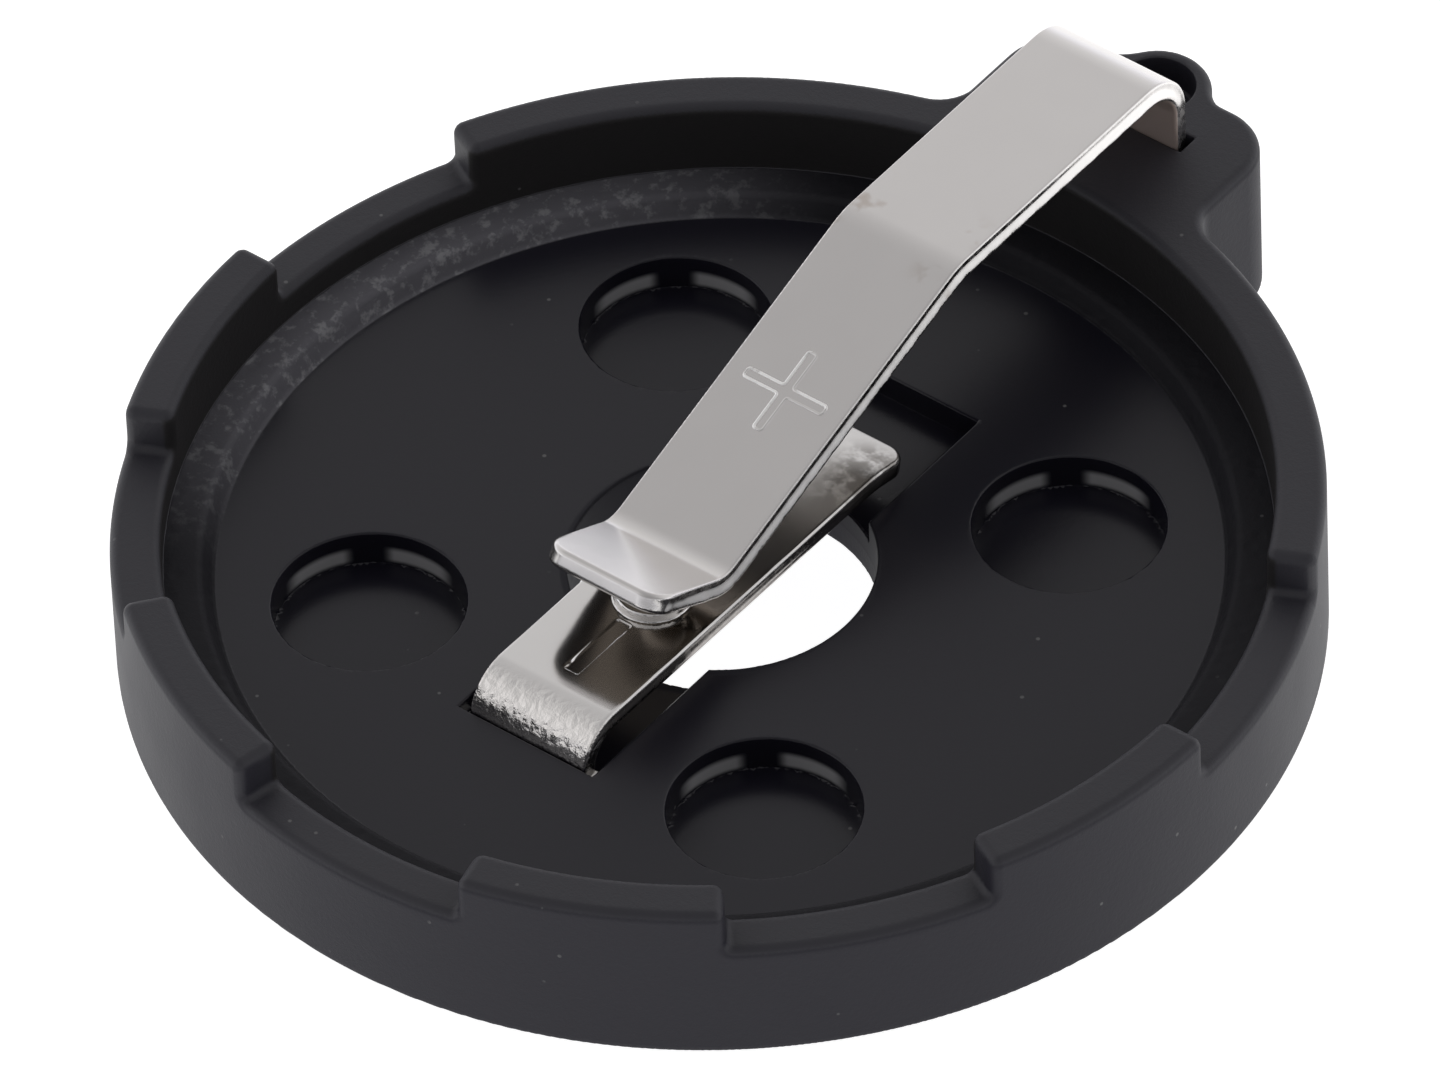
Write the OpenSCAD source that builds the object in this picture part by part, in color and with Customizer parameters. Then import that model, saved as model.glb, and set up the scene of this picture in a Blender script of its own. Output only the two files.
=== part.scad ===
// Round coin cell holder for a 20 mm cell: a moulded base with a castellated
// rim, a sprung positive arm over the pocket and a negative leaf in the floor
// slot. Each contact ends in a flat solder tail below the board face.
// +X runs from the body axis towards the lug, +Z is up from the board face.

/* [Body] */
// Outer radius of the round body
body_r = 11.2; // [11:0.05:12]
// Height from the board face to the top of the rim
body_h = 3.45; // [3.3:0.05:4]
// Thickness of the pocket floor
floor_t = 1.5; // [1.3:0.05:1.7]
// Radius of the pocket wall, a close fit round a 20 mm cell
pocket_r = 10.25; // [10.1:0.05:10.4]
// Inner radius of the ring ledge that carries the cell
ledge_r = 9.35; // [9:0.05:9.6]
// Height of the ring ledge above the pocket floor
ledge_h = 0.4; // [0.2:0.05:0.5]
// Rounding of the rim's two top edges
edge_r = 0.2; // [0.05:0.01:0.3]

/* [Rim notches] */
// Depth of each notch in the rim
notch_depth = 0.9; // [0.5:0.05:1]
// Half of the angle that each notch spans, in degrees
notch_half = 12.857; // [8:0.001:12.857]
// Rounding of the notch corners
notch_r = 0.25; // [0.1:0.01:0.35]

/* [Floor] */
// Radius of the four round recesses
recess_r = 1.8; // [1.2:0.05:2]
// Radius of the circle that the recesses lie on
recess_pitch = 6.5; // [6.2:0.05:6.8]
// Depth of the recesses
recess_depth = 0.75; // [0.3:0.05:0.9]
// Radius of the central opening
hole_r = 2.86; // [2.5:0.01:3.2]
// Distance of the opening's centre from the body axis, towards the lug
hole_x = 0.08; // [0:0.01:0.2]
// Half length of the slot across the opening
slot_half = 5.78; // [5.6:0.01:5.95]
// Width of the slot
slot_w = 3.1; // [2.9:0.05:3.3]
// Height of the slot's blind floor above the board face
slot_z = 0.95; // [0.6:0.05:1.2]

/* [Lug] */
// Distance from the body axis to the end of the lug
lug_end = 13.72; // [13.5:0.01:14]
// Width of the lug
lug_w = 5.6; // [5:0.1:6.2]
// Corner radius of the lug
lug_corner = 1.2; // [0.6:0.1:1.5]
// Outer radius of the round boss on the end of the lug
boss_r = 1.05; // [0.9:0.05:1.1]
// Distance from the body axis to the boss
boss_x = 13.42; // [13.4:0.01:13.6]
// Radius of the blind pocket in the boss
boss_pocket_r = 0.75; // [0.4:0.05:0.75]
// Depth of the blind pocket in the boss
boss_pocket_d = 0.7; // [0.2:0.05:1]

/* [Contacts] */
// Width of both contact strips
strip_w = 2.68; // [2.4:0.02:2.8]
// Thickness of the strip
strip_t = 0.4; // [0.3:0.01:0.4]
// Distance from the body axis to the middle of the arm's leg
leg_x = 12.4; // [12.38:0.01:12.42]
// Width of the solder tails
tail_w = 1.02; // [0.8:0.02:1.2]
// Length of the solder tails below the board face
tail_len = 3.2; // [2.5:0.1:3.5]

/* [Hidden] */
$fn = 96;
eps = 0.01;
far = 6;
ledge_z = floor_t + ledge_h;
notch_z = body_h - notch_depth;
// notches sit at odd multiples of a seventh of a half turn, away from the lug
notch_az = [for (k = [3, 5, 7, 9, 11]) k * 180 / 7];

function arc(cx, cy, r, a0, a1, n = 8) =
    [for (i = [0:n]) let (a = a0 + (a1 - a0) * i / n) [cx + r * cos(a), cy + r * sin(a)]];

// ---- base ---------------------------------------------------------------

// outside of the body as one turned section, rounded at the outer top edge
module body_turned() {
    rotate_extrude()
        polygon(concat([[0, 0], [body_r - 0.1, 0], [body_r, 0.1]],
            arc(body_r - edge_r, body_h - edge_r, edge_r, 0, 90, 6),
            [[0, body_h]]));
}

// lug with rounded corners and a small fillet on each side at the rim
module lug_plan() {
    f = 0.5;
    cy = lug_w / 2 + f;
    // the fillet's circle dips a little into the body, so that it cuts it
    // at an angle and leaves no sliver
    cx = sqrt(pow(body_r + f - 0.04, 2) - cy * cy);
    c = lug_corner;
    translate([8, -lug_w / 2]) square([lug_end - c - 8, lug_w]);
    translate([8, -lug_w / 2 + c]) square([lug_end - 8, lug_w - 2 * c]);
    for (s = [-1, 1]) {
        translate([lug_end - c, s * (lug_w / 2 - c)]) circle(c);
        mirror([0, s < 0 ? 1 : 0]) difference() {
            polygon([[9.8, lug_w / 2 - 0.3], [cx, lug_w / 2 - 0.3], [cx, cy],
                [cx * 0.93, cy * 0.93]]);
            translate([cx, cy]) circle(f);
        }
    }
    translate([boss_x, 0]) circle(boss_r);
}

// everything taken out of the turned body from above: floor, ledge and wall
module pocket_turned() {
    rotate_extrude()
        polygon(concat([[0, floor_t], [ledge_r - 0.12, floor_t],
            [ledge_r, floor_t + 0.12], [ledge_r, ledge_z], [pocket_r, ledge_z],
            [pocket_r, body_h - edge_r]],
            arc(pocket_r + edge_r, body_h - edge_r, edge_r, 180, 90, 6),
            [[pocket_r + edge_r, far], [0, far]]));
}

// one end of a notch, as seen looking outwards: the upright end wall stands
// at y = 0, with a rounded foot and a rounded top corner
module notch_end() {
    r = notch_r;
    d = notch_depth;
    w = 1.2;
    rotate([90, 0, 90]) linear_extrude(height = body_r + 2 - ledge_r)
        polygon(concat([[-w, notch_z]],
            arc(-r, notch_z + r, r, 270, 360, 6),
            arc(r, body_h - r, r, 180, 90, 6),
            [[r, far], [-w, far]]));
}

// one rim notch centred on azimuth 0
module notch() {
    h = notch_half;
    rr = body_r + 2;
    for (s = [-1, 1]) mirror([0, s < 0 ? 1 : 0, 0])
        rotate([0, 0, h]) translate([ledge_r, 0, 0]) notch_end();
    translate([0, 0, notch_z]) linear_extrude(height = far - notch_z)
        difference() {
            polygon([[0, 0], [rr * cos(h - 1.6), -rr * sin(h - 1.6)],
                [rr * 1.1, 0], [rr * cos(h - 1.6), rr * sin(h - 1.6)]]);
            circle(ledge_r);
        }
}

// slot through the lug for the arm's leg
module leg_slot() {
    translate([leg_x - strip_t / 2, -1.48, -1])
        cube([strip_t + 0.06, 2.96, far + 1]);
}

module base() {
    color([0.13, 0.13, 0.14]) difference() {
        union() {
            body_turned();
            linear_extrude(height = body_h) lug_plan();
        }
        pocket_turned();
        for (a = notch_az) rotate([0, 0, a]) notch();
        for (a = [45:90:315]) rotate([0, 0, a])
            translate([recess_pitch, 0, floor_t - recess_depth])
                cylinder(r = recess_r, h = far);
        translate([hole_x, 0, -1]) cylinder(r = hole_r, h = far);
        translate([-slot_half, -slot_w / 2, slot_z]) cube([2 * slot_half, slot_w, far]);
        // the leaf's leg goes down through the near end of the slot
        translate([-slot_half, -1.5, -1]) cube([strip_t + 0.06, 3, far]);
        leg_slot();
        translate([boss_x, 0, body_h - boss_pocket_d])
            cylinder(r = boss_pocket_r, h = far);
    }
}

// ---- contacts -----------------------------------------------------------

// A strip is bent from a list of steps. Each step is [length] for a straight
// run or [0, turn, radius] for a bend of the middle line, turn positive to the
// left. path() returns [x, z, heading] along the middle line.
function bend_pts(p, turn, r, n) =
    let (s = turn > 0 ? 1 : -1,
         cx = p[0] - s * r * sin(p[2]), cz = p[1] + s * r * cos(p[2]))
    [for (i = [1:n]) let (h = p[2] + turn * i / n)
        [cx + s * r * sin(h), cz - s * r * cos(h), h]];
function step(p, st) = len(st) == 1
    ? [[p[0] + st[0] * cos(p[2]), p[1] + st[0] * sin(p[2]), p[2]]]
    : bend_pts(p, st[1], st[2], max(4, ceil(abs(st[1]) / 7.5)));
function path(p, steps, i = 0) = i == len(steps) ? [p] :
    let (s = step(p, steps[i])) concat([p],
        [for (k = [0:1:len(s) - 2]) s[k]], path(s[len(s) - 1], steps, i + 1));
function side(pts, d) = [for (q = pts) [q[0] - d * sin(q[2]), q[1] + d * cos(q[2])]];
function reversed(v) = [for (i = [len(v) - 1:-1:0]) v[i]];

module bent_strip(start, steps, w) {
    p = path(start, steps);
    rotate([90, 0, 0]) linear_extrude(height = w, center = true)
        polygon(concat(side(p, strip_t / 2), reversed(side(p, -strip_t / 2))));
}

// the arm's steps, from the lug upwards, over the pocket to the lifted tip
arm_start = [leg_x, 0.9, 90];
arm_steps = [[3.37], [0, 90, 0.95], [5.53], [0, 18.7, 1.6], [6.89],
    [0, -44.2, 0.9], [1.87]];
// the leaf's steps, from the slot end upwards and back over the opening
leaf_x = -slot_half + strip_t / 2;
leaf_start = [leaf_x, 0.3, 90];
leaf_steps = [[0.95], [0, -90.8, 0.76], [7.6], [0, -12, 2.4], [0.75]];

// flat leg: full width in the body, with a small retaining barb on each side,
// narrowing to the solder tail
module leg(x, z_top, barb) {
    h = strip_w / 2;
    t = tail_w / 2;
    translate([x + strip_t / 2, 0, 0]) rotate([90, 0, 0]) rotate([0, -90, 0])
        linear_extrude(height = strip_t)
        polygon([[-t, 0.35], [-h + 0.2, 0.35], [-h, 0.6],
            [-barb, 1.15], [-h, 1.2], [-h, z_top], [h, z_top], [h, 1.2],
            [barb, 1.15], [h, 0.6], [h - 0.2, 0.35], [t, 0.35],
            [t, -tail_len + 0.35], [t - 0.25, -tail_len],
            [-t + 0.25, -tail_len], [-t, -tail_len + 0.35]]);
}

// block that rounds the two free corners of a strip seen from above
module corner_cut(x, r, dir) {
    for (s = [-1, 1]) translate([0, 0, 0.8]) linear_extrude(height = 6)
        difference() {
            translate([dir > 0 ? x - r : x - 1, s > 0 ? strip_w / 2 - r : -strip_w / 2 - 1])
                square([r + 1, r + 1]);
            translate([x - dir * r, s * (strip_w / 2 - r)]) circle(r);
        }
}

module positive_contact() {
    tip = path(arm_start, arm_steps);
    q = tip[len(tip) - 1];
    color([0.78, 0.77, 0.75]) union() {
        difference() {
            bent_strip(arm_start, arm_steps, strip_w);
            corner_cut(q[0] - strip_t / 2 * sin(180 - q[2]), 0.5, -1);
        }
        leg(leg_x, 1.4, 1.48);
    }
}

module negative_contact() {
    tip = path(leaf_start, leaf_steps);
    q = tip[len(tip) - 1];
    // the raised round button near the shoulder, pressed up from below
    bx = -1.96;
    bz = 2.24;
    color([0.80, 0.78, 0.74]) difference() {
        union() {
            difference() {
                bent_strip(leaf_start, leaf_steps, strip_w);
                corner_cut(q[0], 0.45, 1);
            }
            leg(leaf_x, 1.2, slot_w / 2);
            translate([bx, 0, bz - strip_t]) cylinder(r = 0.72, h = strip_t + 0.16);
            translate([bx, 0, bz]) intersection() {
                translate([0, 0, -0.55]) sphere(0.9);
                cylinder(r = 0.5, h = 1);
            }
        }
        // hollow of the button on the underside
        translate([bx, 0, bz - strip_t - 0.3]) cylinder(r = 0.42, h = 0.45);
        // shallow pressed groove from the shoulder to the button
        translate([-4.4, -0.16, bz - 0.1]) cube([1.6, 0.32, 1]);
    }
}

base();
positive_contact();
negative_contact();
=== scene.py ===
# Looks of the coin cell holder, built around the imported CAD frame. The three
# CAD nodes are each replaced by a fine mesh of the same dimensions, made from a
# signed distance function in millimetres, with the rounded edges that a
# moulding and a blanked strip have. Lengths below are in mm unless said.
import math

import bpy
import numpy as np
from mathutils import Matrix, Vector


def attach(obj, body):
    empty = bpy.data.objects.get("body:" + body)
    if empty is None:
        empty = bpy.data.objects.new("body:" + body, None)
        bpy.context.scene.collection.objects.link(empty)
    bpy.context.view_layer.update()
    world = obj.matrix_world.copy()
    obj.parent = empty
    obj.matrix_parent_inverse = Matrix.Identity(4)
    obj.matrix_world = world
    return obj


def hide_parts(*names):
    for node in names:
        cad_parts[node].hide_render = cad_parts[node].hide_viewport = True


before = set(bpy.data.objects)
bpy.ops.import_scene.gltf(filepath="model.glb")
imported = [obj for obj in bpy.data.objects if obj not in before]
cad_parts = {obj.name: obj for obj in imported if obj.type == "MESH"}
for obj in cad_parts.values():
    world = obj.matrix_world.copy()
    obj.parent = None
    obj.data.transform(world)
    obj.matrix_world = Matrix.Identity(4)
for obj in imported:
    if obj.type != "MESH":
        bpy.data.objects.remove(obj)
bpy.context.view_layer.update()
MM = 0.001

# ---- signed distance helpers ---------------------------------------------


def smax(a, b, r):
    """Intersection of two solids whose shared edge is rounded to radius r."""
    return np.minimum(-r, np.maximum(a, b)) + np.hypot(
        np.maximum(a + r, 0), np.maximum(b + r, 0))


def smin(a, b, r):
    """Union of two solids with a fillet of radius r."""
    return -smax(-a, -b, r)


def round_box(u, v, hu, hv, r):
    a, b = np.abs(u) - hu + r, np.abs(v) - hv + r
    return np.hypot(np.maximum(a, 0), np.maximum(b, 0)) - r + np.minimum(np.maximum(a, b), 0)


def polygon(u, v, pts):
    """Signed distance to a closed polygon, negative inside."""
    u, v = np.broadcast_arrays(u, v)
    best = np.full(u.shape, 1e9)
    inside = np.zeros(u.shape, bool)
    for (x0, y0), (x1, y1) in zip(pts, pts[1:] + pts[:1]):
        ex, ey = x1 - x0, y1 - y0
        if ex == 0 and ey == 0:
            continue
        wx, wy = u - x0, v - y0
        t = np.clip((wx * ex + wy * ey) / (ex * ex + ey * ey), 0, 1)
        best = np.minimum(best, (wx - t * ex) ** 2 + (wy - t * ey) ** 2)
        crosses = (y0 <= v) != (y1 <= v)
        if ey:
            inside ^= crosses & (wx * ey < wy * ex if ey > 0 else wx * ey > wy * ex)
    d = np.sqrt(best)
    return np.where(inside, -d, d)


# ---- meshing -------------------------------------------------------------


def gradient(f, p, e=0.004):
    g = np.empty_like(p)
    for k in range(3):
        a, b = p.copy(), p.copy()
        a[:, k] += e
        b[:, k] -= e
        g[:, k] = f(a[:, 0], a[:, 1], a[:, 2]) - f(b[:, 0], b[:, 1], b[:, 2])
    n = np.linalg.norm(g, axis=1, keepdims=True)
    return g / np.maximum(n, 1e-9)


def settle(f, p, h, rounds=3):
    """Moves points onto the surface, along the distance's own gradient."""
    for _ in range(rounds):
        d = f(p[:, 0], p[:, 1], p[:, 2])
        p = p - np.clip(d, -0.6 * h, 0.6 * h)[:, None] * gradient(f, p)
    return p


def surface(f, lo, hi, h):
    """(points, quads) of f = 0: one point a cell, placed where the tangent
    planes of its edge crossings meet, so that creases stay crisp."""
    axes = [np.arange(lo[k], hi[k] + h[k], h[k]) for k in range(3)]
    X, Y, Z = axes[0][:, None, None], axes[1][None, :, None], axes[2][None, None, :]
    F = np.broadcast_to(f(X, Y, Z), [len(a) for a in axes]).astype(np.float64)
    F = np.where(F == 0, 1e-9, F)
    S = F < 0
    n = [len(a) - 1 for a in axes]
    count = np.zeros(n, np.int8)
    corner = {}
    for i in (0, 1):
        for j in (0, 1):
            for k in (0, 1):
                s = S[i:n[0] + i, j:n[1] + j, k:n[2] + k]
                count += s
                corner[i, j, k] = (i, j, k)
    cells = np.argwhere((count > 0) & (count < 8))
    index = np.full(n, -1, np.int64)
    index[tuple(cells.T)] = np.arange(len(cells))
    base = np.stack([axes[k][cells[:, k]] for k in range(3)], 1)
    ci, cj, ck = cells.T
    A = np.zeros((len(cells), 3, 3))
    B = np.zeros((len(cells), 3))
    mean = np.zeros((len(cells), 3))
    hits = np.zeros(len(cells))
    for axis in range(3):
        others = [k for k in range(3) if k != axis]
        for a in (0, 1):
            for b in (0, 1):
                o0 = [0, 0, 0]
                o0[others[0]], o0[others[1]] = a, b
                o1 = list(o0)
                o1[axis] = 1
                fa = F[ci + o0[0], cj + o0[1], ck + o0[2]]
                fb = F[ci + o1[0], cj + o1[1], ck + o1[2]]
                m = np.flatnonzero((fa < 0) != (fb < 0))
                t = fa[m] / (fa[m] - fb[m])
                q = base[m] + np.array(o0) * np.array(h)
                q[:, axis] += t * h[axis]
                g = gradient(f, q)
                A[m] += g[:, :, None] * g[:, None, :]
                B[m] += g * (g * q).sum(1, keepdims=True)
                mean[m] += q
                hits[m] += 1
    mean /= hits[:, None]
    lam = 0.02
    p = np.linalg.solve(A + lam * np.eye(3), (B + lam * mean)[:, :, None])[:, :, 0]
    centre = base + 0.5 * np.array(h)
    p = centre + np.clip(p - centre, -0.62 * np.array(h), 0.62 * np.array(h))
    quads = []
    for axis in range(3):
        o1, o2 = (axis + 1) % 3, (axis + 2) % 3
        sl0 = [slice(1, -1)] * 3
        sl1 = [slice(1, -1)] * 3
        sl0[axis], sl1[axis] = slice(0, -1), slice(1, None)
        change = S[tuple(sl0)] != S[tuple(sl1)]
        at = np.argwhere(change)
        inside = S[tuple(sl0)][tuple(at.T)]
        cell = at.copy()
        cell[:, o1] += 1
        cell[:, o2] += 1
        ring = []
        for d1, d2 in ((0, 0), (-1, 0), (-1, -1), (0, -1)):
            c = cell.copy()
            c[:, o1] += d1
            c[:, o2] += d2
            ring.append(index[tuple(c.T)])
        ring = np.stack(ring, 1)
        ring[~inside] = ring[~inside][:, ::-1]
        quads.append(ring)
    return p, np.concatenate(quads)


def mesh_piece(name, f, lo, hi, h, faces_wanted=None):
    """A Blender object of f = 0, in metres, thinned where it is flat, with
    its points and its shading normals taken from f."""
    p, quads = surface(f, lo, hi, h)
    p = settle(f, p, min(h), 2)
    me = bpy.data.meshes.new(name)
    me.vertices.add(len(p))
    me.vertices.foreach_set("co", (p * MM).astype(np.float32).ravel())
    me.loops.add(quads.size)
    me.loops.foreach_set("vertex_index", quads.astype(np.int32).ravel())
    me.polygons.add(len(quads))
    me.polygons.foreach_set("loop_start", np.arange(0, quads.size, 4, dtype=np.int32))
    me.update(calc_edges=True)
    me.validate()
    ob = bpy.data.objects.new(name, me)
    bpy.context.scene.collection.objects.link(ob)
    if faces_wanted and 2 * len(quads) > faces_wanted:
        # a mesh in millimetres thins better than one in metres
        me.transform(Matrix.Scale(1 / MM, 4))
        mod = ob.modifiers.new("thin", "DECIMATE")
        mod.ratio = faces_wanted / (2 * len(quads))
        mod.use_collapse_triangulate = True
        dg = bpy.context.evaluated_depsgraph_get()
        thin = bpy.data.meshes.new_from_object(ob.evaluated_get(dg))
        ob.modifiers.clear()
        ob.data = thin
        bpy.data.meshes.remove(me)
        me = thin
        me.name = name
        me.transform(Matrix.Scale(MM, 4))
        p = np.empty(len(me.vertices) * 3, np.float32)
        me.vertices.foreach_get("co", p)
        p = settle(f, p.reshape(-1, 3).astype(float) / MM, 0.05, 2)
        me.vertices.foreach_set("co", (p * MM).astype(np.float32).ravel())
        me.update()
    me.polygons.foreach_set("use_smooth", np.ones(len(me.polygons), bool))
    # a normal for each face corner, read a little inside its face, so that
    # the two sides of a crease keep their own
    at = np.empty(len(me.loops), np.int32)
    me.loops.foreach_get("vertex_index", at)
    size = np.empty(len(me.polygons), np.int32)
    me.polygons.foreach_get("loop_total", size)
    face = np.repeat(np.arange(len(size)), size)
    mid = np.stack([np.bincount(face, p[at, k]) for k in range(3)], 1) / size[:, None]
    n = gradient(f, p[at] * 0.7 + mid[face] * 0.3, 0.004)
    me.normals_split_custom_set(n.astype(np.float32))
    print(name, len(me.vertices), "points", len(me.polygons), "faces")
    return ob


# ---- moulded base --------------------------------------------------------

BODY_R, BODY_H, FLOOR, LEDGE_Z, POCKET_R, LEDGE_R = 11.2, 3.45, 1.5, 1.9, 10.25, 9.35
NOTCH_Z, NOTCH_HALF = 2.55, math.radians(12.857)
NOTCH_AZ = [math.radians(k * 180 / 7) for k in (3, 5, 7, 9, 11)]
LUG_END, LUG_HALF, LUG_CORNER, BOSS_X, BOSS_R = 13.72, 2.8, 1.2, 13.42, 1.05
LEG_X = 12.4
HOLE_X, HOLE_R, SLOT_Z = 0.08, 2.86, 0.95


def base_sdf(x, y, z):
    r = np.hypot(x, y)
    phi = np.arctan2(y, x)
    lug = round_box(x - (6 + LUG_END) / 2, y, (LUG_END - 6) / 2, LUG_HALF, LUG_CORNER)
    plan = smin(r - BODY_R, lug, 0.5)
    plan = smin(plan, np.hypot(x - BOSS_X, y) - BOSS_R, 0.3)
    notch = np.full(np.shape(r), 50.0)
    for a in NOTCH_AZ:
        off = np.abs((phi - a + np.pi) % (2 * np.pi) - np.pi) - NOTCH_HALF
        notch = np.minimum(notch, r * np.sin(np.clip(off, -1.5, 1.5)))
    top = smin(z - NOTCH_Z, smax(z - BODY_H, -notch, 0.22), 0.16)
    solid = smax(smax(plan, top, 0.2), -z, 0.1)
    pocket = smin(smax(r - POCKET_R, LEDGE_Z - z, 0.03),
                  smax(r - LEDGE_R - 0.5 * np.clip(z - FLOOR, 0, 0.4), FLOOR - z, 0.04), 0.1)
    solid = smax(solid, -pocket, 0.2)
    slot = smax(np.maximum(np.abs(x) - 5.78, np.abs(y) - 1.55), SLOT_Z - z, 0.012)
    leg_cut = np.maximum(np.abs(x + 5.55) - 0.23, np.abs(y) - 1.5)
    opening = np.minimum(np.minimum(np.hypot(x - HOLE_X, y) - HOLE_R, slot), leg_cut)
    solid = smax(solid, -opening, 0.05)
    recess = np.hypot(np.abs(x) - 6.5 * math.sqrt(0.5), np.abs(y) - 6.5 * math.sqrt(0.5)) - 1.8
    solid = smax(solid, -smax(recess, FLOOR - 0.75 - z, 0.015), 0.05)
    leg = np.maximum(np.abs(x - LEG_X - 0.03) - 0.23, np.abs(y) - 1.48)
    solid = smax(solid, -leg, 0.04)
    boss = smax(np.hypot(x - BOSS_X, y) - 0.75, BODY_H - 0.7 - z, 0.08)
    return smax(solid, -boss, 0.05)


# ---- contact strips ------------------------------------------------------

STRIP_W, STRIP_T, BURR = 2.68, 0.4, 0.068


def centreline(x, z, heading, steps):
    """The strip's middle line as a list of straight runs and bends."""
    out = []
    for st in steps:
        if len(st) == 1:
            out.append(("run", x, z, heading, st[0]))
            x, z = x + st[0] * math.cos(heading), z + st[0] * math.sin(heading)
        else:
            turn, r = math.radians(st[1]), st[2]
            s = 1 if turn > 0 else -1
            cx, cz = x - s * r * math.sin(heading), z + s * r * math.cos(heading)
            out.append(("bend", cx, cz, heading, turn, r))
            heading += turn
            x, z = cx + s * r * math.sin(heading), cz - s * r * math.cos(heading)
    return out, (x, z, heading)


def strip_parts(x, z, line, end):
    """(signed offset to the left of the line, distance past its end)."""
    best = np.full(np.broadcast(x, z).shape, 1e9)
    side = np.zeros(best.shape)
    for part in line:
        if part[0] == "run":
            _, px, pz, h, length = part
            ch, sh = math.cos(h), math.sin(h)
            along = (x - px) * ch + (z - pz) * sh
            n = -(x - px) * sh + (z - pz) * ch
            d = np.hypot(n, np.maximum(np.maximum(-along, along - length), 0))
        else:
            _, cx, cz, h, turn, r = part
            s = 1 if turn > 0 else -1
            rad = np.hypot(x - cx, z - cz)
            # angle travelled from the bend's start
            a0 = h - s * math.pi / 2
            ang = s * (np.arctan2(z - cz, x - cx) - a0)
            mid = abs(turn) / 2
            off = np.abs((ang - mid + np.pi) % (2 * np.pi) - np.pi) - mid
            n = s * (r - rad)
            d = np.where(off <= 0, np.abs(n), np.hypot(n, rad * np.clip(off, 0, 1.5)) + 1e-4)
        closer = d < best
        best = np.where(closer, d, best)
        side = np.where(closer, n, side)
    ex, ez, eh = end
    past = (x - ex) * math.cos(eh) + (z - ez) * math.sin(eh)
    return best, side, past


def leg_shape(z_top, barb):
    h, t, l = STRIP_W / 2, 0.51, 3.2
    return [(-t, 0.35), (-h + 0.2, 0.35), (-h, 0.6), (-barb, 1.15), (-h, 1.2), (-h, z_top),
            (h, z_top), (h, 1.2), (barb, 1.15), (h, 0.6), (h - 0.2, 0.35), (t, 0.35),
            (t, -l + 0.35), (t - 0.25, -l), (-t + 0.25, -l), (-t, -l + 0.35)]


ARM_LINE, ARM_END = centreline(LEG_X, 0.9, math.pi / 2, [
    [3.37], [0, 90, 0.95], [5.53], [0, 18.7, 1.6], [6.89], [0, -44.2, 0.9], [1.87]])
LEAF_X = -5.58
LEAF_LINE, LEAF_END = centreline(LEAF_X, 0.3, math.pi / 2, [
    [0.95], [0, -90.8, 0.76], [7.6], [0, -12, 2.4], [0.75]])


def strip_sdf(x, y, z, line, end, corner, outer_left, leg_x, leg, r_out, r_in):
    best, side, past = strip_parts(x, z, line, end)
    up = side if outer_left else -side
    r = np.where(up > 0, r_out, r_in)
    # sheared edge: upright at the top, then broken away a little outwards
    torn = 1 + 0.04 * np.sin(9 * x + 7 * y) + 0.03 * np.sin(17 * x + 5 * y + 1.3)
    low = np.clip((0.10 - up) / 0.24, 0, 1)
    flare = BURR * low * low * (3 - 2 * low) * torn * np.clip((z - 1.9) / 0.3, 0, 1)
    # the free end is cut cleaner and its top edge is rounder
    flare = flare * (0.3 + 0.7 * np.clip(-past / 1.5, 0, 1))
    r = r + np.where(up > 0, 0.05, 0.0) * np.clip(1 + past, 0, 1)
    across = np.abs(y) - STRIP_W / 2 - flare
    plan = smax(across, past, corner)
    d = smax(best - STRIP_T / 2, plan, r)
    d = np.where(past > -2.0, d, smax(best - STRIP_T / 2, across, r))
    plate = smax(np.abs(x - leg_x) - STRIP_T / 2, polygon(y, z, leg), 0.04)
    return np.minimum(d, plate)


ARM_LEG = leg_shape(1.4, 1.48)
LEAF_LEG = leg_shape(1.2, 1.55)


def arm_sdf(x, y, z):
    return strip_sdf(x, y, z, ARM_LINE, ARM_END, 0.5, False, LEG_X, ARM_LEG, 0.05, 0.1)


BUTTON_X, BUTTON_Z = -1.96, 2.24


def leaf_sdf(x, y, z):
    d = strip_sdf(x, y, z, LEAF_LINE, LEAF_END, 0.45, True, LEAF_X, LEAF_LEG, 0.06, 0.1)
    rb = np.hypot(x - BUTTON_X, y)
    disc = smax(rb - 0.72, np.maximum(z - BUTTON_Z - 0.16, BUTTON_Z - 0.3 - z), 0.07)
    dome = np.sqrt(rb * rb + (z - BUTTON_Z + 0.55) ** 2) - 0.9
    dome = smax(smax(dome, rb - 0.5, 0.04), BUTTON_Z - z, 0.02)
    d = smin(smin(d, disc, 0.05), dome, 0.05)
    hollow = smax(rb - 0.42, z - BUTTON_Z + STRIP_T - 0.15, 0.05)
    d = smax(d, -np.maximum(hollow, BUTTON_Z - STRIP_T - 0.3 - z), 0.05)
    groove = np.maximum(round_box(x + 3.6, y, 0.8, 0.16, 0.05), BUTTON_Z - 0.1 - z)
    return smax(d, -groove, 0.03)


fine = 1.0
PLUS_AT = 3.64
base = mesh_piece("moulded_base", base_sdf, (-11.5, -11.5, -0.3), (14.7, 11.5, 3.75),
                  [0.085 * fine, 0.085 * fine, 0.085 * fine], 190000 / fine ** 2)
arm = mesh_piece("positive_arm", arm_sdf, (-4.0, -1.76, -3.42), (13.1, 1.76, 5.8),
                 [0.045 * fine] * 3, 130000 / fine ** 2)
leaf = mesh_piece("negative_leaf", leaf_sdf, (-6.1, -1.82, -3.42), (4.6, 1.82, 3.0),
                  [0.05 * fine] * 3, 120000 / fine ** 2)

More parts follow.
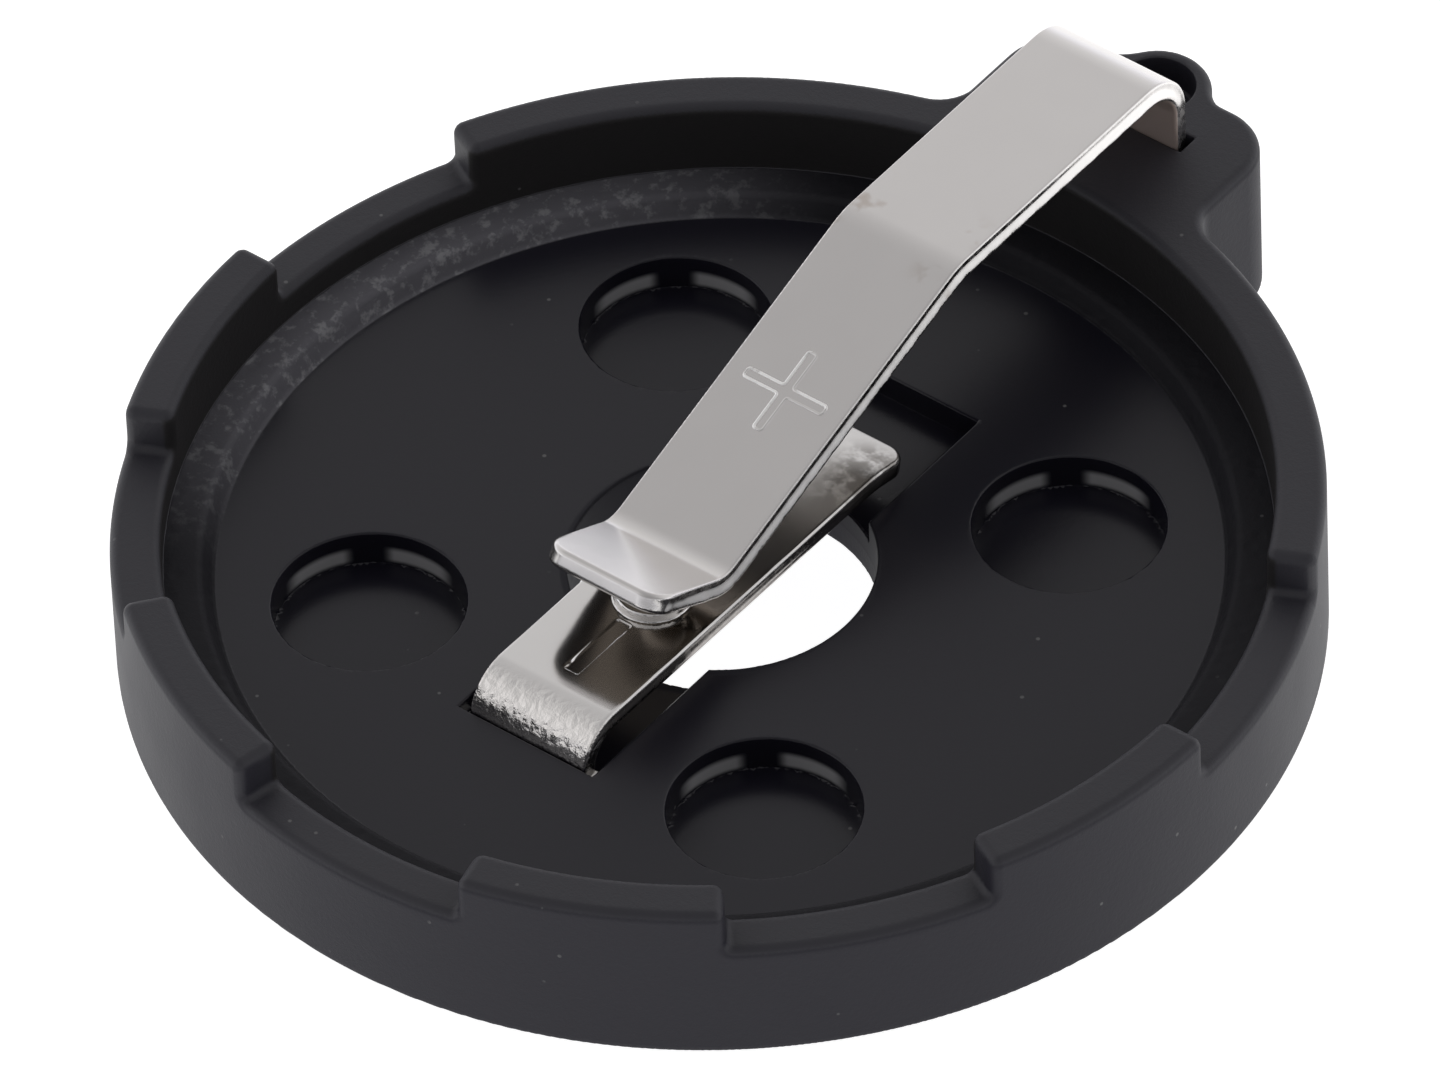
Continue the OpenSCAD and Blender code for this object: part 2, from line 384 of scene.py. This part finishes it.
# A small generic plus, pressed as a raised outline on the arm's long slope.
def bead_loop(name, outline, half, height, sunk):
    """A closed bead of half-round section along a closed outline of points
    and outward normals; points are (place, across, up) in mm."""
    n = len(outline)
    section = [(-half, -sunk), (-half, 0.0), (-0.6 * half, 0.75 * height), (0.0, height),
               (0.6 * half, 0.75 * height), (half, 0.0), (half, -sunk)]
    k = len(section)
    verts, faces = [], []
    for pos, across, lift in outline:
        for a, b in section:
            verts.append(((pos + across * a + lift * b) * MM).to_tuple())
    for i in range(n):
        for j in range(k):
            a, b = i * k + j, i * k + (j + 1) % k
            c, d = (i + 1) % n * k + (j + 1) % k, (i + 1) % n * k + j
            faces.append((a, b, c, d))
    me = bpy.data.meshes.new(name)
    me.from_pydata(verts, [], faces)
    me.update()
    ob = bpy.data.objects.new(name, me)
    bpy.context.scene.collection.objects.link(ob)
    me.polygons.foreach_set("use_smooth", np.ones(len(me.polygons), bool))
    return ob


# the slope's middle line starts where its bend ends
_, slope_x, slope_z, slope_h, _ = ARM_LINE[4]
along = Vector((math.cos(slope_h), 0, math.sin(slope_h)))
lift = Vector((-math.sin(slope_h), 0, math.cos(slope_h))) * -1
lift = lift if lift.z > 0 else -lift
across_y = Vector((0, 1, 0))
# distance down the slope from the fold to the plus's centre
fold_x = 5.62
centre = Vector((slope_x, 0, slope_z)) + along * (PLUS_AT - (fold_x - slope_x) / abs(along.x)) \
    + lift * (STRIP_T / 2)
arm_l, arm_w, rc = 0.91, 0.1, 0.06
corners = []
for q in range(4):
    a = q * math.pi / 2
    for px, py, turn in ((arm_l, -arm_w, 1), (arm_l, arm_w, 1), (arm_w, arm_w, -1)):
        corners.append((px * math.cos(a) - py * math.sin(a), px * math.sin(a) + py * math.cos(a), turn))
flat = []
m = len(corners)
for i in range(m):
    p0, p1, p2 = [Vector(corners[(i + o) % m][:2]) for o in (-1, 0, 1)]
    d0, d1 = (p1 - p0).normalized(), (p2 - p1).normalized()
    turn = corners[i][2]
    n0 = Vector((d0.y, -d0.x))
    c = p1 - d0 * rc - n0 * rc * turn
    for t in range(7):
        a = t / 6 * math.pi / 2 * turn
        nn = Matrix.Rotation(a, 2) @ n0
        flat.append((c + nn * rc * turn, nn))
dense = []
for i in range(len(flat)):
    (p0, n0), (p1, n1) = flat[i], flat[(i + 1) % len(flat)]
    dense.append((p0, n0))
    gap = (p1 - p0).length
    for t in range(1, int(gap / 0.08)):
        w = t / int(gap / 0.08)
        dense.append((p0.lerp(p1, w), n0))
ring = [(centre + along * q.x + across_y * q.y, along * nn.x + across_y * nn.y, lift)
        for q, nn in dense]
plus = bead_loop("plus_mark", ring, 0.032, 0.02, 0.05)

# ---- materials -----------------------------------------------------------


def principled(name, **sockets):
    m = bpy.data.materials.new(name)
    m.use_nodes = True
    nt = m.node_tree
    bsdf = nt.nodes["Principled BSDF"]
    for k, v in sockets.items():
        bsdf.inputs[k.replace("_", " ")].default_value = v
    return m, nt, bsdf


class Nodes:
    """Short names for the nodes that the materials are made from."""

    def __init__(self, nt):
        self.nt = nt
        self.coord = nt.nodes.new("ShaderNodeTexCoord").outputs["Object"]

    def link(self, value, socket):
        if isinstance(value, bpy.types.NodeSocket):
            self.nt.links.new(value, socket)
        else:
            socket.default_value = value

    def math(self, op, a, b=0.0, c=0.0, clamp=False):
        n = self.nt.nodes.new("ShaderNodeMath")
        n.operation, n.use_clamp = op, clamp
        for i, v in enumerate((a, b, c)):
            self.link(v, n.inputs[i])
        return n.outputs[0]

    def noise(self, scale, detail=2.0, rough=0.5, vector=None, out="Fac"):
        n = self.nt.nodes.new("ShaderNodeTexNoise")
        n.inputs["Scale"].default_value = scale
        n.inputs["Detail"].default_value = detail
        n.inputs["Roughness"].default_value = rough
        self.link(vector or self.coord, n.inputs["Vector"])
        return n.outputs[out]

    def voronoi(self, scale, vector=None, out="Distance", feature="F1"):
        n = self.nt.nodes.new("ShaderNodeTexVoronoi")
        n.feature = feature
        n.inputs["Scale"].default_value = scale
        self.link(vector or self.coord, n.inputs["Vector"])
        return n.outputs[out]

    def step(self, value, a, b, lo=0.0, hi=1.0):
        """Smooth ramp of value from a to b, giving lo to hi."""
        n = self.nt.nodes.new("ShaderNodeMapRange")
        n.interpolation_type = "SMOOTHSTEP"
        for k, v in (("Value", value), ("From Min", a), ("From Max", b), ("To Min", lo), ("To Max", hi)):
            self.link(v, n.inputs[k])
        return n.outputs["Result"]

    def mix(self, fac, a, b):
        n = self.nt.nodes.new("ShaderNodeMix")
        n.data_type = "RGBA"
        self.link(fac, n.inputs[0])
        for v, i in ((a, 6), (b, 7)):
            self.link(v if isinstance(v, bpy.types.NodeSocket) else (*v, 1.0), n.inputs[i])
        return n.outputs[2]

    def mixf(self, fac, a, b):
        n = self.nt.nodes.new("ShaderNodeMix")
        n.data_type = "FLOAT"
        for v, i in ((fac, 0), (a, 2), (b, 3)):
            self.link(v, n.inputs[i])
        return n.outputs[0]

    def xyz(self, vector=None):
        n = self.nt.nodes.new("ShaderNodeSeparateXYZ")
        self.link(vector or self.coord, n.inputs[0])
        return n.outputs

    def bump(self, height, strength, distance, normal=None):
        n = self.nt.nodes.new("ShaderNodeBump")
        n.inputs["Strength"].default_value = strength
        n.inputs["Distance"].default_value = distance
        self.link(height, n.inputs["Height"])
        if normal:
            self.link(normal, n.inputs["Normal"])
        return n.outputs[0]


def plastic():
    m, nt, bsdf = principled("moulded_black", IOR=1.5)
    n = Nodes(nt)
    x, y, z = n.xyz()
    r = n.math("SQRT", n.math("ADD", n.math("MULTIPLY", x, x), n.math("MULTIPLY", y, y)))
    # 1 on the smooth pocket floor and in the recesses
    floor = n.math("MULTIPLY", n.step(r, 0.00945, 0.00930), n.step(z, 0.00165, 0.00156))
    ledge = n.math("MULTIPLY", n.step(r, 0.010235, 0.010215),
                   n.math("MULTIPLY", n.step(r, 0.00928, 0.00932), n.step(z, 0.0021, 0.00198)))
    floor = n.math("MULTIPLY", floor, n.step(z, 0.00050, 0.00060))
    ledge = n.math("MULTIPLY", ledge, n.step(z, 0.00130, 0.00140))
    # the ledge's moulded grain, with painted light making it lighter and stronger on the side towards +Y
    along = n.math("DIVIDE", n.math("ADD", n.math("MULTIPLY", y, 0.97), n.math("MULTIPLY", x, 0.24)), r)
    painted_light_ledge = n.math("MULTIPLY", ledge, n.step(along, 0.60, 0.95))
    crumb = n.step(n.noise(3600, 3, 0.65), 0.50, 0.68)
    grain = n.noise(9000, 3, 0.6)
    fine_grain = n.noise(26000, 2, 0.6)
    cloud = n.noise(700, 2, 0.5)
    pits = n.voronoi(2600)
    speck = n.step(n.voronoi(1500), 0.075, 0.04)
    speck = n.math("MULTIPLY", speck, n.step(n.noise(900, 1, 0.5), 0.52, 0.62))
    matt = n.mix(cloud, (0.0150, 0.0144, 0.0205), (0.0205, 0.0198, 0.0265))
    colour = n.mix(floor, matt, (0.0080, 0.0074, 0.0130))
    colour = n.mix(n.math("MULTIPLY", ledge, 0.6), colour, (0.0060, 0.0058, 0.0066))
    colour = n.mix(painted_light_ledge, colour, n.mix(crumb, (0.098, 0.096, 0.108), (0.19, 0.19, 0.20)))
    # upright walls: painted shade inside the pocket, which is made darker
    nx, ny, nz = n.xyz(nt.nodes["Texture Coordinate"].outputs["Normal"])
    wall = n.step(n.math("ABSOLUTE", nz), 0.6, 0.3)
    inside = n.math("MULTIPLY", wall, n.math("MULTIPLY", n.step(r, 0.01050, 0.01040), n.step(r, 0.00990, 0.01005)))
    colour = n.mix(inside, colour, (0.0190, 0.0178, 0.0182))
    # painted reflection: two pale patches low down on the far wall of each recess
    dx = n.math("SUBTRACT", x, n.math("MULTIPLY", n.math("SIGN", x), 0.004596))
    dy = n.math("SUBTRACT", y, n.math("MULTIPLY", n.math("SIGN", y), 0.004596))
    far = n.math("DIVIDE", n.math("ADD", n.math("MULTIPLY", dx, 0.770), n.math("MULTIPLY", dy, 0.637)), 0.0018)
    near = n.step(n.math("SQRT", n.math("ADD", n.math("MULTIPLY", dx, dx), n.math("MULTIPLY", dy, dy))), 0.0020, 0.0019)
    painted_reflection = n.math("MULTIPLY", n.step(far, 0.50, 0.72), n.step(far, 0.990, 0.960))
    painted_reflection = n.math("MULTIPLY", painted_reflection, n.math("MULTIPLY", n.step(z, 0.00076, 0.00088), n.step(z, 0.00120, 0.00104)))
    painted_reflection = n.math("MULTIPLY", n.math("MULTIPLY", painted_reflection, near), wall)
    colour = n.mix(painted_reflection, colour, (0.34, 0.34, 0.35))
    # painted shade: the outside shines least where it faces -X and -Y
    ahead = n.math("DIVIDE", n.math("ADD", n.math("MULTIPLY", x, -0.770), n.math("MULTIPLY", y, -0.637)), r)
    outer = n.math("MULTIPLY", wall, n.step(r, 0.01060, 0.01090))
    spec = n.mixf(floor, 0.5, 0.34)
    spec = n.mixf(ledge, spec, 0.18)
    spec = n.mixf(inside, spec, 0.28)
    spec = n.mixf(outer, spec, n.step(ahead, 0.15, 0.92, 0.44, 0.20))
    spec = n.mixf(n.math("MULTIPLY", outer, n.step(r, 0.0114, 0.0116)), spec, 0.22)
    spec = n.mixf(n.math("MULTIPLY", wall, n.step(r, 0.00320, 0.00305)), spec, 0.16)
    n.link(spec, bsdf.inputs["Specular IOR Level"])
    colour = n.mix(n.math("MULTIPLY", speck, 0.8), colour, (0.12, 0.12, 0.12))
    n.link(colour, bsdf.inputs["Base Color"])
    rough = n.mixf(cloud, 0.50, 0.60)
    rough = n.mixf(floor, rough, n.step(z, 0.00146, 0.00152, 0.25, 0.31))
    rough = n.mixf(ledge, rough, 0.62)
    rough = n.mixf(n.step(r, 0.00300, 0.00292), rough, 0.65)
    n.link(rough, bsdf.inputs["Roughness"])
    height = n.math("ADD", n.math("MULTIPLY", grain, 0.6), n.math("MULTIPLY", fine_grain, 0.4))
    height = n.math("MULTIPLY", height, n.math("SUBTRACT", 1.0, n.math("MULTIPLY", floor, 0.75)))
    height = n.math("ADD", height, n.math("MULTIPLY", n.math("MULTIPLY", ledge, n.step(pits, 0.0, 0.5)), 1.2))
    n.link(n.bump(height, 0.5, 0.00002), bsdf.inputs["Normal"])
    return m


def nickel(name, colour, lo, hi, leaf_piece):
    m, nt, bsdf = principled(name, Metallic=1.0)
    n = Nodes(nt)
    x, y, z = n.xyz()
    nx, ny, nz = n.xyz(nt.nodes["Texture Coordinate"].outputs["Normal"])
    cloud = n.noise(420, 3, 0.55)
    tint = n.mix(cloud, [c * 0.96 for c in colour], [min(1, c * 1.03) for c in colour])
    # painted shade: the underside is made dark and brownish; the sheared edge is torn and grainy
    painted_underside_shade = n.step(nz, -0.2, -0.6)
    tint = n.mix(n.math("MULTIPLY", painted_underside_shade, 0.85), tint, (0.20, 0.165, 0.125))
    edge = n.step(n.math("ABSOLUTE", y), 0.001322, 0.001338)
    torn = n.noise(5200, 3, 0.65)
    rough = n.mixf(n.noise(1500, 3, 0.6), lo, hi)
    rough = n.mixf(n.math("MULTIPLY", edge, 0.8), rough, n.step(torn, 0.35, 0.65, 0.16, 0.36))
    # sheared edge: painted shade above, and a painted highlight as a bright broken line where it leans outwards
    painted_edge_highlight = n.math("MULTIPLY", edge, n.step(nz, 0.13, 0.27))
    painted_edge_shade = n.math("MULTIPLY", n.math("MULTIPLY", edge, n.math("SUBTRACT", 1.0, painted_edge_highlight)), n.step(x, 0.0062, 0.0052))
    tint = n.mix(n.math("MULTIPLY", painted_edge_shade, 0.75), tint, (0.30, 0.27, 0.25))
    tint = n.mix(painted_edge_highlight, tint, (0.97, 0.955, 0.93))
    rough = n.mixf(painted_edge_highlight, rough, 0.55)
    height = n.noise(900, 3, 0.5)
    height = n.math("ADD", height, n.math("MULTIPLY", n.math("MULTIPLY", edge, torn), 0.5))
    if leaf_piece:
        # crazed plating over the shoulder's bend, with a painted highlight that lightens it
        crazed_highlight_band = n.math("MULTIPLY", n.step(x, -0.00490, -0.00535), n.step(z, 0.00115, 0.00165))
        craze = n.voronoi(4200, feature="DISTANCE_TO_EDGE")
        craze = n.math("ADD", craze, n.math("MULTIPLY", n.noise(7000, 3, 0.7), 0.8))
        height = n.math("ADD", height, n.math("MULTIPLY", n.math("MULTIPLY", crazed_highlight_band, craze), 15.0))
        rough = n.mixf(n.step(x, 0.0002, 0.0025), rough, 0.24)
        rough = n.mixf(crazed_highlight_band, rough, 0.20)
        # painted reflection: a darker clouded patch beside the free end
        painted_reflection = n.math("MULTIPLY", n.step(y, -0.0001, -0.0009),
                       n.math("MULTIPLY", n.step(x, 0.0014, 0.0026), n.step(x, 0.0040, 0.0035)))
        painted_reflection = n.math("MULTIPLY", painted_reflection, n.step(n.noise(1900, 3, 0.65), 0.36, 0.58))
        tint = n.mix(n.math("MULTIPLY", painted_reflection, 0.75), tint, (0.20, 0.185, 0.17))
        # painted highlight: the shoulder band's colour is raised
        tint = n.mix(crazed_highlight_band, tint, (0.90, 0.875, 0.85))
    else:
        # a few faint stains beside the fold
        blot = n.math("MULTIPLY", n.step(n.noise(1100, 3, 0.6), 0.54, 0.66),
                      n.math("MULTIPLY", n.step(x, 0.0049, 0.0052), n.step(x, 0.0072, 0.0062)))
        blot = n.math("MULTIPLY", blot, n.step(n.math("ABSOLUTE", y), 0.0004, 0.0011))
        tint = n.mix(n.math("MULTIPLY", blot, 0.5), tint, (0.40, 0.33, 0.27))
        # the leg's inner face under the bend is darker, browner and rougher
        inner = n.math("MULTIPLY", n.step(x, 0.0115, 0.0120), n.step(nx, -0.3, -0.6))
        tint = n.mix(inner, tint, (0.60, 0.50, 0.45))
        rough = n.mixf(inner, rough, 0.6)
    n.link(tint, bsdf.inputs["Base Color"])
    n.link(rough, bsdf.inputs["Roughness"])
    n.link(n.bump(height, 0.22, 0.00001), bsdf.inputs["Normal"])
    return m


def pressed():
    """The plus: a painted glint brightens its upper edges, with breaks."""
    m, nt, bsdf = principled("pressed_nickel", Metallic=1.0)
    n = Nodes(nt)
    x, y, z = n.xyz()
    cx = centre.x * MM
    bar = n.math("MULTIPLY", n.step(x, cx + 0.00002, cx + 0.00006), n.step(n.math("ABSOLUTE", y), 0.00016, 0.00024))
    post = n.math("MULTIPLY", n.step(y, 0.00002, 0.00006),
                  n.step(n.math("ABSOLUTE", n.math("SUBTRACT", x, cx)), 0.00004, 0.00008))
    painted_glint = n.math("MULTIPLY", n.math("MAXIMUM", bar, post), n.step(n.noise(2600, 2, 0.6), 0.36, 0.50))
    n.link(n.mix(painted_glint, (0.70, 0.685, 0.67), (0.97, 0.965, 0.95)), bsdf.inputs["Base Color"])
    n.link(n.mixf(painted_glint, 0.25, 0.5), bsdf.inputs["Roughness"])
    return m


black = plastic()
base.data.materials.append(black)
satin = nickel("satin_nickel", (0.70, 0.68, 0.665), 0.20, 0.28, False)
arm.data.materials.append(satin)
plus.data.materials.append(pressed())
leaf.data.materials.append(nickel("bright_nickel", (0.72, 0.705, 0.69), 0.09, 0.15, True))

for piece, node, slot in ((base, "base", "moulded_base"), (arm, "positive_contact", "plated_arm"),
                          (leaf, "negative_contact", "plated_leaf")):
    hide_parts(node)
    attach(piece, "root")

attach(plus, "root")

# ---- floor, light and camera ---------------------------------------------

me = bpy.data.meshes.new("studio_floor")
s = 3.0
me.from_pydata([(-s, -s, -0.0032), (s, -s, -0.0032), (s, s, -0.0032), (-s, s, -0.0032)], [], [(0, 1, 2, 3)])
floor = bpy.data.objects.new("studio_floor", me)
bpy.context.scene.collection.objects.link(floor)
fm, nt, bsdf = principled("pale_floor", Roughness=0.9)
bsdf.inputs["Base Color"].default_value = (0.6, 0.6, 0.6, 1)
bsdf.inputs["Emission Color"].default_value = (1, 1, 1, 1)
bsdf.inputs["Emission Strength"].default_value = 0.90
back = nt.nodes.new("ShaderNodeBsdfTransparent")
geo = nt.nodes.new("ShaderNodeNewGeometry")
mixs = nt.nodes.new("ShaderNodeMixShader")
nt.links.new(geo.outputs["Backfacing"], mixs.inputs[0])
nt.links.new(bsdf.outputs[0], mixs.inputs[1])
nt.links.new(back.outputs[0], mixs.inputs[2])
nt.links.new(mixs.outputs[0], nt.nodes["Material Output"].inputs["Surface"])
me.materials.append(fm)

world = bpy.data.worlds.new("studio")
bpy.context.scene.world = world
world.use_nodes = True
nt = world.node_tree
bg = nt.nodes["Background"]
tc = nt.nodes.new("ShaderNodeTexCoord")
sep = nt.nodes.new("ShaderNodeSeparateXYZ")
ramp = nt.nodes.new("ShaderNodeValToRGB")
nt.links.new(tc.outputs["Generated"], sep.inputs[0])
nt.links.new(sep.outputs["Z"], ramp.inputs[0])
els = ramp.color_ramp.elements
els[0].position, els[0].color = 0.0, (1.34, 1.35, 1.45, 1)
els[1].position, els[1].color = 1.0, (0.42, 0.42, 0.43, 1)
for pos, v in ((0.35, 0.86), (0.69, 0.72), (0.88, 0.54)):
    e = els.new(pos)
    e.color = (v, v * 0.99, v, 1)
# the camera's side of the room is dimmer than the rest
side = nt.nodes.new("ShaderNodeVectorMath")
side.operation = "DOT_PRODUCT"
side.inputs[1].default_value = (-0.770, -0.637, 0.0)
nt.links.new(tc.outputs["Generated"], side.inputs[0])
dim = nt.nodes.new("ShaderNodeMapRange")
dim.interpolation_type = "SMOOTHSTEP"
for k, v in (("From Min", 0.1), ("From Max", 0.85), ("To Min", 1.0), ("To Max", 0.45)):
    dim.inputs[k].default_value = v
nt.links.new(side.outputs["Value"], dim.inputs["Value"])
grey = nt.nodes.new("ShaderNodeVectorMath")
grey.operation = "SCALE"
nt.links.new(ramp.outputs[0], grey.inputs[0])
nt.links.new(dim.outputs["Result"], grey.inputs["Scale"])
nt.links.new(grey.outputs[0], bg.inputs["Color"])
bg.inputs["Strength"].default_value = 1.0

view = bpy.context.scene.view_settings
view.view_transform = "Standard"
view.look = "None"

ELEV, ROLL, TURN, DIST = math.radians(43.88), -0.04457, math.radians(50.4), 0.37702
right = Vector((1, 0, 0))
fwd = Vector((0, math.cos(ELEV), -math.sin(ELEV)))
up = Vector((0, math.sin(ELEV), math.cos(ELEV)))
r2 = right * math.cos(ROLL) + up * math.sin(ROLL)
u2 = -right * math.sin(ROLL) + up * math.cos(ROLL)
turn = Matrix.Rotation(-TURN, 3, "Z")
r2, u2, fwd = turn @ r2, turn @ u2, turn @ fwd
aim = u2 * 0.001494 - r2 * 0.000042
cam_data = bpy.data.cameras.new("photo_camera")
cam = bpy.data.objects.new("photo_camera", cam_data)
bpy.context.scene.collection.objects.link(cam)
cam_data.sensor_fit = "HORIZONTAL"
cam_data.sensor_width = 36.0
cam_data.lens = 510.5
cam_data.clip_start, cam_data.clip_end = 0.01, 20.0
loc = aim - fwd * DIST
m = Matrix((r2, u2, -fwd)).transposed().to_4x4()
m.translation = loc
cam.matrix_world = m
bpy.context.scene.camera = cam
